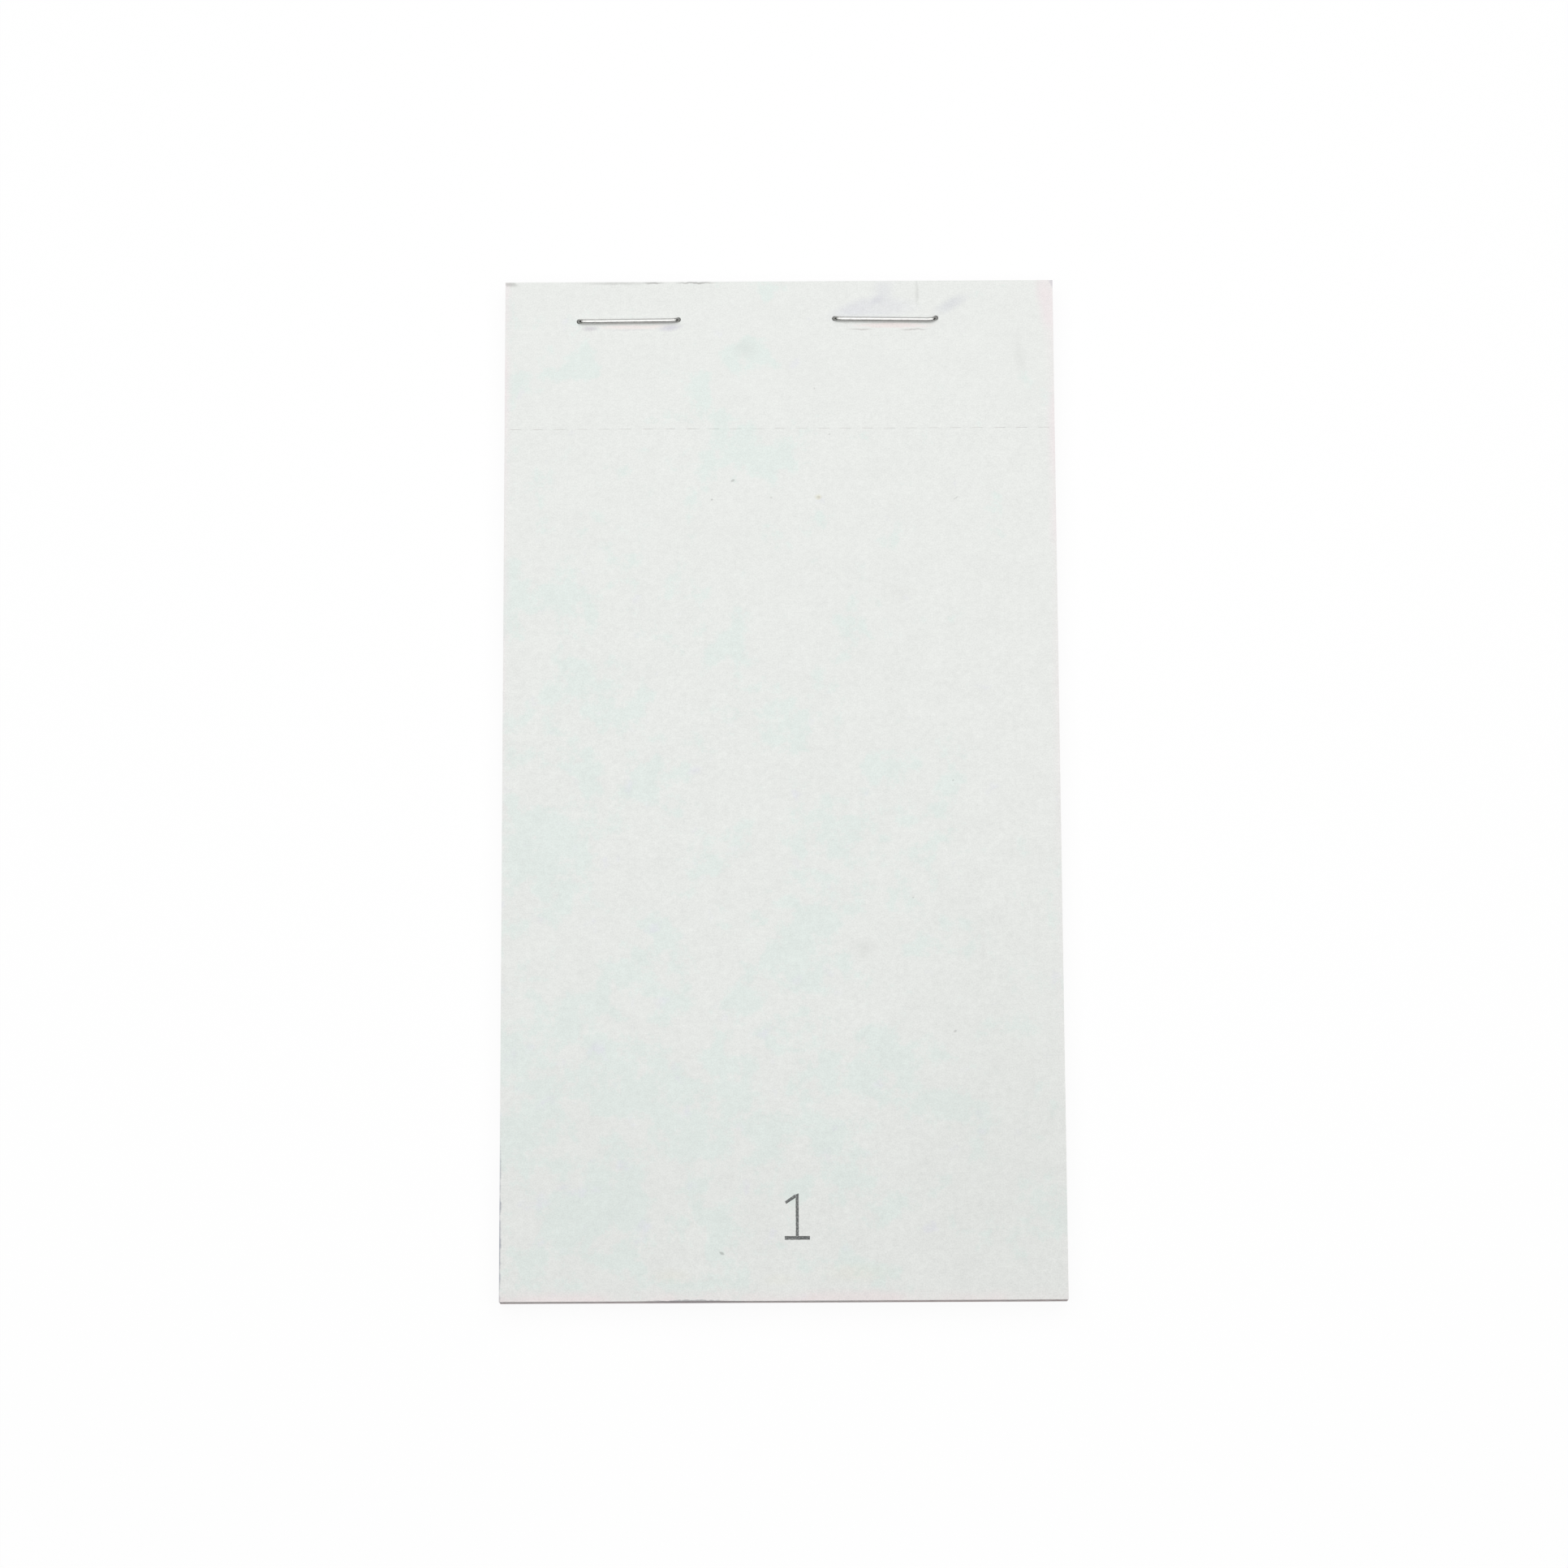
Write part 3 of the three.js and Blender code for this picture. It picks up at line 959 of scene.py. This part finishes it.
def lines_by_holes(steps: Array) -> tuple[Array, Array]:
    """Lines across and lines along, at the given steps from each leg hole's centre."""
    centres = np.array(leg_holes())
    return centres[:, :1] + steps, centres[:, 1:] + steps


def rounded_holes(x: Array, y: Array, hole: float) -> tuple[Array, Array]:
    """Bends a grid's square cells round each leg into a round hole.

    A point at offset d, whose larger part is m and whose length is e, goes to
    d (1 - w (1 - m / e)). The share w is 1 up to the hole's edge and 0 from twice that on.

    Args:
        x: grid of across values.
        y: grid of along values.
        hole: the holes' radius.

    Returns:
        Both grids, bent.
    """
    tiny = 1e-6
    for cx, cy in leg_holes():
        dx, dy = x - cx, y - cy
        far = np.maximum(np.abs(dx), np.abs(dy))
        length = np.maximum(np.hypot(dx, dy), tiny / 1000)
        scale = 1 - (1 - smooth(far, hole * 1.05, hole * 2)) * (1 - far / length)
        scale = np.where(length < tiny, 1.0, scale)
        x, y = cx + dx * scale, cy + dy * scale
    return x, y


@dataclass
class Perforation:
    """A row of slits across a leaf, shifted sideways by phase."""

    phase: float = 0.0
    margin: float = 0.5

    def spans(self) -> Array:
        """Places the slits across the pad.

        Returns:
            Start and end of each slit, one row each.
        """
        count = int(2 * PAD.half_width / PAD.slit_pitch)
        middle = (np.arange(count) + 0.5 - count / 2) * PAD.slit_pitch + self.phase
        spans = rows(middle - PAD.slit_length / 2, middle + PAD.slit_length / 2)
        return spans[np.abs(spans).max(1) < PAD.half_width - self.margin]

    def cuts(self, x: Array) -> Array:
        """Which columns between the lines x are in a slit."""
        middle, (start, end) = middles(x)[:, None], self.spans().T
        return ((middle > start) & (middle < end)).any(1)


@dataclass(kw_only=True)
class Leaf:
    """One leaf, counted from the top one, which is 0. Every second one is a pink duplicate."""

    finishes: Finishes
    index: int
    body: Body = Body.PAD
    hole: float = 0.5

    @property
    def pink(self) -> bool:
        """Whether it is a duplicate."""
        return self.index % 2 == 1

    @property
    def stock(self) -> Stock:
        """The record's name for its paper."""
        return Stock.DUPLICATE if self.pink else Stock.TOP_COPY

    @property
    def label(self) -> str:
        """Its set's number and its own kind, as the names of the solids have them."""
        return f"{self.index // 2 + 1:02d}_{'duplicate' if self.pink else 'top_copy'}"

    @property
    def looks(self) -> list[Material]:
        """Its face and edge finishes."""
        white = self.finishes.white if self.index else self.finishes.top_sheet
        return self.finishes.pink if self.pink else white

    def face(self, x: Array, y: Array) -> Array:
        """Height of its upper face."""
        return np.full(x.shape, PAD.leaf_top(self.index))

    def cells(self, x: Array, y: Array, row: Perforation) -> Array:
        """Cells of a grid that are paper: in no slit, and in no square round a staple's leg.

        Args:
            x: lines across.
            y: lines along.
            row: its slits.

        Returns:
            One truth value for each cell.
        """
        x_middle, y_middle = middles(x), middles(y)
        kept = np.ones((len(y) - 1, len(x) - 1), bool)
        on_row = np.abs(y_middle - PAD.perforation) < PAD.slit_width / 2
        kept[np.ix_(on_row, row.cuts(x))] = False
        for cx, cy in leg_holes():
            beside, over = np.abs(x_middle - cx) < self.hole, np.abs(y_middle - cy) < self.hole
            kept[np.ix_(over, beside)] = False
        return kept


@dataclass(kw_only=True)
class BuriedLeaf(Leaf):
    """A whole leaf inside the stack, with its slits and four leg holes, set down a bit askew."""

    lines: tuple[int, int] = (9, 11)
    slit_play: float = 1.2
    turn_play: float = 0.0003
    shift_play: float = 0.04
    ripple: float = 0.012

    def build(self) -> None:
        """Lays the leaf out on a grid, and shifts and turns it by hundredths of a millimetre.

        Its edges waver a little, as x + r sin(y / 9) and y + r sin(x / 7).
        """
        chance = np.random.default_rng(self.index)
        row = Perforation(float(chance.uniform(-self.slit_play, self.slit_play)))
        beside, over = lines_by_holes(self.hole * np.array([-1, 1]))
        x = grid_lines(row.spans(), beside, PAD.across(self.lines[0]))
        slit = PAD.perforation + PAD.slit_width * np.array([-0.5, 0.5])
        along = np.linspace(-PAD.half_length, PAD.half_length, self.lines[1])
        y = grid_lines(slit, over, along)
        kept = self.cells(x, y, row)
        x, y = np.meshgrid(x, y)
        play = self.turn_play, self.shift_play, self.shift_play
        turn, shift_x, shift_y = chance.normal(0, 1, 3) * play
        moved_x = x + shift_x - turn * y + self.ripple * np.sin(y / 9 + self.index)
        moved_y = y + shift_y + turn * x + self.ripple * np.sin(x / 7 + self.index)
        moved_x = np.clip(moved_x, -PAD.half_width, PAD.half_width)
        moved_y = np.clip(moved_y, -PAD.half_length, PAD.half_length)
        name, top = f"leaf_{self.label}", self.face(x, y)
        piece = plate(name, moved_x, moved_y, top - PAD.pressed, top, self.looks, kept)
        place(piece, self.body, self.stock, f"set_{self.label}")


@dataclass(kw_only=True)
class OpeningLeaf(Leaf):
    """One leaf of the opening set, in two pieces that part along the perforation.

    It rises off the leaf under it by its share of what the top copy does. lines counts its
    lines across, along the slip and along the stub, which start clear_below and clear_above
    the perforation's slits.
    """

    share: float = 1.0
    phase: float = 0.0
    hole: float = 0.34
    hole_steps: tuple[float, ...] = (-2.1, -1.5, -1, -0.5, 0, 0.5, 1, 1.5, 2.1)
    lines: tuple[int, int, int] = (76, 100, 30)
    clear_below: float = 0.8
    clear_above: float = 0.7
    wave: float = 0.018
    lip: float = 0.46
    lip_x: float = -11.6
    lip_width: float = 5.6
    corner: float = 0.09
    side: float = 0.02
    bulge: float = 0.05
    flat_to: float = 0.9
    free_from: float = 4.5

    def slip_rise(self, x: Array, y: Array) -> Array:
        """How far the slip has risen.

        A shallow wave across and along it, a bell-shaped raised stretch of its bottom edge left
        of the middle, curled corners and sides, all fading out towards the perforation.

        Args:
            x: places across.
            y: places along.

        Returns:
            The rise at each place.
        """
        wave = self.wave * (1 + np.sin(x / 11 + 0.6) * np.cos(y / 17 - 0.4))
        low = smooth(-y, 50, 70)
        lip = self.lip * np.exp(-(((x - self.lip_x) / self.lip_width) ** 2)) * low**2
        corner = self.corner * smooth(np.abs(x), 24, PAD.half_width) * low**2
        side = self.side * smooth(np.abs(x), 30, PAD.half_width)
        rise = (wave + lip + corner + side) * smooth(PAD.perforation - y, 0.5, 18)
        return self.share * rise

    def stub_rise(self, x: Array, y: Array) -> Array:
        """How far the stub bulges, pressed flat within flat_to of a crown, less up to free_from.

        Args:
            x: places across.
            y: places along.

        Returns:
            The rise at each place.
        """
        held = np.ones_like(x)
        for staple in STAPLES:
            away = np.hypot(np.maximum(np.abs(x - staple.x) - staple.crown / 2, 0), y - staple.y)
            held = held * smooth(away, self.flat_to, self.free_from)
        free = smooth(y, PAD.perforation + 0.6, PAD.perforation + 6)
        return self.share * (self.bulge * held * free * (0.75 + 0.25 * np.sin(x / 6.5 + 1.1)))

    def face(self, x: Array, y: Array) -> Array:
        """Height of the slip's upper face."""
        return PAD.leaf_top(self.index) + self.slip_rise(x, y)

    def build(self) -> None:
        """Makes the slip up to the perforation, and the stapled stub beyond it."""
        slits, across = Perforation(self.phase).spans(), PAD.across(self.lines[0])
        beside, over = lines_by_holes(self.hole * np.array(self.hole_steps))
        slip_end = PAD.perforation - PAD.slit_width / 2 - self.clear_below
        stub_end = PAD.perforation + PAD.slit_width / 2 + self.clear_above
        slip = np.linspace(-PAD.half_length, slip_end, self.lines[1])
        stub = np.linspace(stub_end, PAD.half_length, self.lines[2])
        x = grid_lines(slits, across)
        self._piece("slip", -1, x, [slip], self.slip_rise, self.body)
        x = grid_lines(slits, beside, across)
        self._piece("stub", 1, x, [over, stub], self.stub_rise, Body.PAD)

    def _piece(
        self,
        part: str,
        sign: int,
        x: Array,
        along: Sequence[Array],
        rise: Callable[[Array, Array], Array],
        body: Body,
    ) -> None:
        """Makes one part of the leaf, which ends at the perforation in a comb of half ties.

        Args:
            part: its name.
            sign: on which side of the perforation it lies, -1 for the lower one.
            x: lines across.
            along: its lines along, apart from the comb's.
            rise: how far it rises at each place.
            body: what it moves with.
        """
        comb = PAD.perforation + sign * np.array([PAD.tie_gap / 2, PAD.slit_width / 2])
        y = grid_lines(comb, *along)
        kept = self.cells(x, y, Perforation(self.phase))
        x, y = rounded_holes(*np.meshgrid(x, y), self.hole)
        bottom = PAD.leaf_bottom(self.index) + rise(x, y)
        node = f"set_{self.label}_{part}"
        name = node.removeprefix("set_01_")
        piece = plate(name, x, y, bottom, bottom + PAD.paper, self.looks, kept)
        place(piece, body, self.stock, node)


# Printed figures


@dataclass
class PrintedFigure:
    """A set's number in thin, slightly uneven ink on the slip, near its bottom edge.

    Each stroke is a ruled surface between two long sides, P(t, s) = (1 - s) R(t) + s L(t),
    whose sides waver by about a hundredth of a millimetre.
    """

    leaf: Leaf
    name: str
    strokes: Sequence[Stroke]
    ink: float = 0.003
    gap: float = 0.001
    seed: int = 5
    points: int = 61
    waver: float = 0.011

    def build(self) -> None:
        """Makes one closed plate for each stroke."""
        chance = np.random.default_rng(self.seed)
        for number, sides in enumerate(self.strokes, 1):
            left, right = (self._finer(side) for side in sides)
            moves = chance.normal(0, self.waver, (2, len(left), 1))
            across = units(right - left)
            left, right = left + across * moves[0], right + across * moves[1]
            s = np.linspace(0, 1, 4)[:, None, None]
            grid = (1 - s) * right[None] + s * left[None]
            x, y = grid[..., 0], grid[..., 1]
            bottom = self.leaf.face(x, y) + self.gap
            name = f"{self.name}_stroke_{number}"
            piece = plate(name, x, y, bottom, bottom + self.ink, [self.leaf.finishes.ink])
            place(piece, self.leaf.body, self.leaf.stock)

    def _finer(self, side: Array) -> Array:
        """The same side with its points evenly spaced."""
        t = np.linspace(0, 1, self.points) * lengths(side)[-1]
        return rows(*(np.interp(t, lengths(side), part) for part in side.T))


def straight(*corners: tuple[float, float]) -> Stroke:
    """A straight stroke from its four corners: left start, left end, right start, right end."""
    return np.array(corners[:2]), np.array(corners[2:])


def curved(centre: Array, width: float) -> Stroke:
    """A stroke of even width, whose sides run beside the points of its middle."""
    side = units(np.gradient(centre, axis=0))[:, ::-1] * (-width / 2, width / 2)
    return centre + side, centre - side


def figure_one() -> list[Stroke]:
    """Strokes of a 1: a flag, an upright stem and a flat foot."""
    return [
        straight((0.22, -56.56), (1.635, -55.60), (0.36, -56.92), (1.635, -56.10)),
        straight((1.64, -61.14), (1.64, -55.66), (2.02, -61.14), (2.02, -55.52)),
        straight((0.17, -61.15), (3.49, -61.15), (0.17, -61.64), (3.49, -61.64)),
    ]


def figure_two() -> list[Stroke]:
    """Strokes of a 2: a bowl that runs down to the left in a curve, and a flat foot.

    The bowl is an arc, and the curve a parabola from its end S past B to E,
    P(t) = (1 - t)^2 S + 2 t (1 - t) B + t^2 E.

    Returns:
        Both strokes.
    """
    a = np.radians(np.linspace(160, -38, 40))
    bowl = rows(1.82 + 1.32 * np.cos(a), -57.03 + 1.3 * np.sin(a))
    t = np.linspace(0, 1, 30)[1:, None]
    start, bend, end = bowl[-1], np.array([1.95, -59.33]), np.array([0.42, -61.08])
    tail = (1 - t) ** 2 * start + 2 * t * (1 - t) * bend + t**2 * end
    return [
        curved(np.concatenate([bowl, tail]), 0.42),
        straight((0.2, -61.24), (3.3, -61.24), (0.2, -61.64), (3.3, -61.64)),
    ]


# Sub-assemblies


@dataclass
class Binding:
    """The backing board and the two staples."""

    finishes: Finishes
    board: str = "backing_board"

    def build(self) -> None:
        """Dresses the board's own solid and builds the staples."""
        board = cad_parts[self.board]
        board.data.materials.clear()
        board.data.materials.append(self.finishes.board)
        log.info("%s: its solid dressed in %s", self.board, self.finishes.board.name)
        for staple in STAPLES:
            staple.build(self.finishes.wire)


@dataclass
class Stack:
    """The buried sets, from the second to the last."""

    finishes: Finishes
    first: int = 2
    last: int = PAD.sets
    seed: int = 8

    def build(self) -> None:
        """Builds two leaves for each set, and prints the number of the set on top."""
        counted = range(2 * self.first - 2, 2 * self.last)
        leaves = [BuriedLeaf(finishes=self.finishes, index=index) for index in counted]
        for leaf in leaves:
            leaf.build()
        PrintedFigure(leaves[0], "printed_2", figure_two(), seed=self.seed).build()


@dataclass
class OpeningSet:
    """The set on top: a numbered top copy over its pink duplicate, both with stubs."""

    finishes: Finishes
    duplicate_share: float = 0.5
    duplicate_phase: float = 0.9
    top_ink: float = 0.004
    top_gap: float = 0.002

    def build(self) -> None:
        """Builds both leaves and prints the set's number on each."""
        lower = OpeningLeaf(
            finishes=self.finishes,
            index=1,
            body=Body.DUPLICATE,
            share=self.duplicate_share,
            phase=self.duplicate_phase,
        )
        upper = OpeningLeaf(finishes=self.finishes, index=0, body=Body.TOP_COPY)
        for leaf in (lower, upper):
            leaf.build()
        PrintedFigure(lower, "printed_1_duplicate", figure_one()).build()
        PrintedFigure(upper, "printed_1", figure_one(), self.top_ink, self.top_gap).build()


# Studio

WHITE = (1, 1, 1, 1)


@dataclass
class Studio:
    """A white sweep, a large overhead softbox, what shiny pieces mirror, and the camera.

    Its lengths are in metres, apart from the camera's focal length and the picture's size,
    which are in pixels, and the sensor's width, which is in millimetres.
    """

    rays: tuple[str, ...] = ("Is Camera Ray", "Is Glossy Ray", "Is Transmission Ray")
    ambient: float = 0.14
    softbox_level: float = 1.9
    softbox_height: float = 0.48
    softbox_back: float = 0.13
    softbox_width: float = 0.76
    softbox_depth: float = 0.8
    floor_reach: float = 3.0
    floor_grey: float = 0.62
    shadow_share: float = 0.07
    mirrored_level: float = 2.2
    mirrored_half_width: float = 0.27
    mirrored_front: float = -0.33
    mirrored_back: float = 0.57
    card_reach: float = 2.0
    card_level: float = 0.12
    focal_pixels: float = 5686.111
    picture_pixels: float = 1932.0
    sensor: float = 36.0
    nearest: float = 0.02
    farthest: float = 20.0
    distance: float = 0.62014
    elevation: float = 79.46
    roll: float = -0.278
    target: tuple[float, float, float] = (0.00036, -0.000461, 0.00395)

    def build(self) -> None:
        """Sets the picture's view transform and makes the world, light, floor and camera."""
        bpy.context.scene.view_settings.view_transform = "Standard"
        self._world()
        self._softbox()
        self._floor()
        self._cards()
        self._camera()

    def _seen(self, shader: Shader) -> Value:
        """1 for rays from the camera, a mirror or glass, and 0 for the rest."""
        camera, glossy, through = shader.outputs("LightPath", *self.rays)
        return camera.most(glossy).most(through)

    def _world(self) -> None:
        """White to what looks at it, and a low even light on what it lights."""
        world = bpy.data.worlds.new("studio_world")
        bpy.context.scene.world = world
        shader = Shader("studio_world", world)
        level = self._seen(shader).between(self.ambient, 1)
        sky = shader.node("Background", inputs={0: WHITE, 1: level})
        shader.node("OutputWorld", inputs={0: sky})

    def _softbox(self) -> None:
        """One level rectangular light, so wide that its shadows are soft."""
        light = bpy.data.lights.new("softbox", "AREA")
        light.shape = "RECTANGLE"
        light.size, light.size_y = self.softbox_width, self.softbox_depth
        light.energy = self.softbox_level * math.pi * self.softbox_width * self.softbox_depth
        made = bpy.data.objects.new("softbox", light)
        made.location = (0.0, self.softbox_back, self.softbox_height)
        made.visible_camera = made.visible_glossy = False
        bpy.context.scene.collection.objects.link(made)

    def _floor(self) -> None:
        """A level sheet: white to the camera with the pad's soft shadow, grey to other light."""
        shader = Shader("white_sweep")
        seen = self._seen(shader)
        white = shader.node("Emission", inputs={0: WHITE, 1: 1.0})
        lit = shader.node("BsdfDiffuse", inputs={0: WHITE})
        shown = shader.node("MixShader", inputs={0: self.shadow_share, 1: white, 2: lit})
        grey = shader.node("BsdfDiffuse", inputs={0: (*[self.floor_grey] * 3, 1)})
        both = shader.node("MixShader", inputs={0: seen, 1: grey, 2: shown})
        shader.node("OutputMaterial", inputs={0: both})
        x, y = np.meshgrid(*[[-self.floor_reach, self.floor_reach]] * 2)
        corners = rows(x.ravel(), y.ravel(), 0) / MM
        floor = mesh_object("floor", corners, np.array([[0, 1, 3, 2]]), [shader.owner])

    def _cards(self) -> None:
        """What only shiny pieces see: a bright panel overhead, and grey in front and beside it.

        The wire gets its highlight from the panel and its dark front flank and ends from the
        grey cards. Behind the panel the white surroundings stay open.
        """
        side, front, back = self.mirrored_half_width, self.mirrored_front, self.mirrored_back
        far = self.card_reach
        cards = [(-far, far, -far, front), (-far, -side, front, back), (side, far, front, back)]
        for name, level, parts in (
            ("mirrored_panel", self.mirrored_level, [(-side, side, front, back)]),
            ("mirrored_cards", self.card_level, cards),
        ):
            shader = Shader(name)
            glow = shader.node("Emission", inputs={0: WHITE, 1: level})
            shader.node("OutputMaterial", inputs={0: glow})
            corners = [
                (x, y, self.softbox_height)
                for x0, x1, y0, y1 in parts
                for x, y in ((x0, y0), (x0, y1), (x1, y1), (x1, y0))
            ]
            quads = np.arange(len(corners)).reshape(-1, 4)
            panel = mesh_object(name, np.array(corners) / MM, quads, [shader.owner])
            panel.visible_camera = panel.visible_diffuse = panel.visible_shadow = False
            panel.visible_transmission = panel.visible_volume_scatter = False

    def _camera(self) -> None:
        """Puts the camera where the picture was taken from."""
        lens = self.focal_pixels / self.picture_pixels * self.sensor
        data = bpy.data.cameras.new("camera")
        data.sensor_fit, data.sensor_width, data.lens = "HORIZONTAL", self.sensor, lens
        data.clip_start, data.clip_end = self.nearest, self.farthest
        up, lean = math.radians(self.elevation), math.radians(self.roll)
        back = Vector((0.0, -math.cos(up), math.sin(up)))
        above = Vector((0.0, math.sin(up), math.cos(up)))
        right = Vector((1.0, 0.0, 0.0))
        level = math.cos(lean) * right + math.sin(lean) * above
        upright = math.cos(lean) * above - math.sin(lean) * right
        turn = Matrix((level, upright, back)).transposed().to_4x4()
        made = bpy.data.objects.new("camera", data)
        made.matrix_world = Matrix.Translation(Vector(self.target) + self.distance * back) @ turn
        bpy.context.scene.collection.objects.link(made)
        bpy.context.scene.camera = made


def main() -> None:
    """Builds the studio and the pad's pieces in order."""
    logging.basicConfig(level=logging.INFO, format="%(name)s %(message)s")
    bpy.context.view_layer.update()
    Studio().build()
    finishes = Finishes()
    for assembly in (Binding(finishes), Stack(finishes), OpeningSet(finishes)):
        log.info("building %s", type(assembly).__name__)
        assembly.build()


if __name__ == "__main__":
    main()
